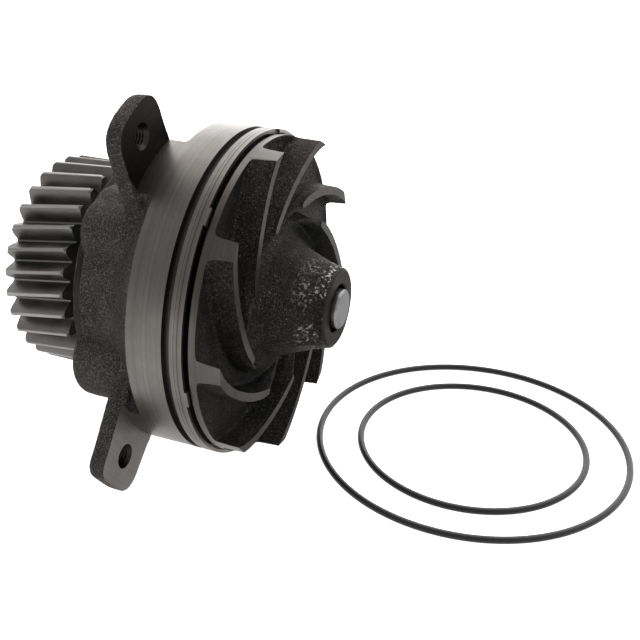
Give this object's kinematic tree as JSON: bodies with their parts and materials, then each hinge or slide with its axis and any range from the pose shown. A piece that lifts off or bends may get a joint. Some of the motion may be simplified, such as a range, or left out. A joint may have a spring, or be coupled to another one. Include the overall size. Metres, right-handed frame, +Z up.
{
  "type": "engine water pump",
  "caption": "Gear-driven engine coolant pump: cast housing with machined pilot ring and threaded ears, open vaned impeller on a long hub, helical gear, loose sealing rings.",
  "frame": {"origin": "centre of the shaft's front end face, at the impeller", "axes": "+X along the shaft from the gear to the impeller, +Z up as the pump lies with its loose rings, +Y away from the viewer's side"},
  "size_m": [0.3008, 0.2067, 0.1812],
  "materials": {
    "cast_housing": "dark sand-cast grain with satin turned faces",
    "cast_impeller": "dark sand-cast grain with machined vane edges",
    "gear_steel": "satin hardened steel with bright tooth tips",
    "shaft_steel": "ground bright",
    "bearing_steel": "polished",
    "pressed_steel": "satin pressed sheet",
    "clip_steel": "black phosphated spring steel",
    "cage_brass": "satin",
    "seal_rubber": "matt",
    "ring_rubber": "satin black",
    "carbon": "lapped carbon",
    "ceramic": "lapped ceramic"
  },
  "bodies": {
    "housing": {"housing": "cast_housing", "rear_bearing_outer_ring": "bearing_steel", "front_bearing_outer_ring": "bearing_steel", "rear_bearing_shield": "pressed_steel", "front_bearing_shield": "pressed_steel", "bearing_circlip": "clip_steel", "oil_seal_case": "pressed_steel", "oil_seal_lip": "seal_rubber", "seal_case": "pressed_steel", "seal_bellows": "seal_rubber", "seal_spring": "shaft_steel", "seal_carbon_ring": "carbon"},
    "rotor": {"shaft": "shaft_steel", "impeller": "cast_impeller", "drive_gear": "gear_steel", "spacer_sleeve": "pressed_steel", "rear_bearing_inner_ring": "bearing_steel", "front_bearing_inner_ring": "bearing_steel", "seal_mating_ring": "ceramic"},
    "rear_cage": {"rear_bearing_cage": "cage_brass", "rear_ball_1": "bearing_steel", "rear_ball_2": "bearing_steel", "rear_ball_3": "bearing_steel", "rear_ball_4": "bearing_steel", "rear_ball_5": "bearing_steel", "rear_ball_6": "bearing_steel", "rear_ball_7": "bearing_steel", "rear_ball_8": "bearing_steel", "rear_ball_9": "bearing_steel"},
    "front_cage": {"front_bearing_cage": "cage_brass", "front_ball_1": "bearing_steel", "front_ball_2": "bearing_steel", "front_ball_3": "bearing_steel", "front_ball_4": "bearing_steel", "front_ball_5": "bearing_steel", "front_ball_6": "bearing_steel", "front_ball_7": "bearing_steel", "front_ball_8": "bearing_steel", "front_ball_9": "bearing_steel"},
    "large_ring": {"large_o_ring": "ring_rubber"},
    "small_ring": {"small_o_ring": "ring_rubber"}
  },
  "joints": [
    {"name": "rotor_spin", "type": "hinge", "parent": "housing", "child": "rotor", "pos_m": [0, 0, 0], "axis": [1, 0, 0], "continuous": true},
    {"name": "rear_cage_spin", "type": "hinge", "parent": "housing", "child": "rear_cage", "pos_m": [0, 0, 0], "axis": [1, 0, 0], "continuous": true},
    {"name": "front_cage_spin", "type": "hinge", "parent": "housing", "child": "front_cage", "pos_m": [0, 0, 0], "axis": [1, 0, 0], "continuous": true},
    {"name": "large_ring_lift", "type": "slide", "parent": "housing", "child": "large_ring", "axis": [0, 0, 1], "range_m": [0, 0.05]},
    {"name": "small_ring_lift", "type": "slide", "parent": "housing", "child": "small_ring", "axis": [0, 0, 1], "range_m": [0, 0.05]}
  ],
  "couplings": [
    {"joint": "rear_cage_spin", "follows": "rotor_spin", "ratio": 0.4083},
    {"joint": "front_cage_spin", "follows": "rotor_spin", "ratio": 0.4022}
  ]
}
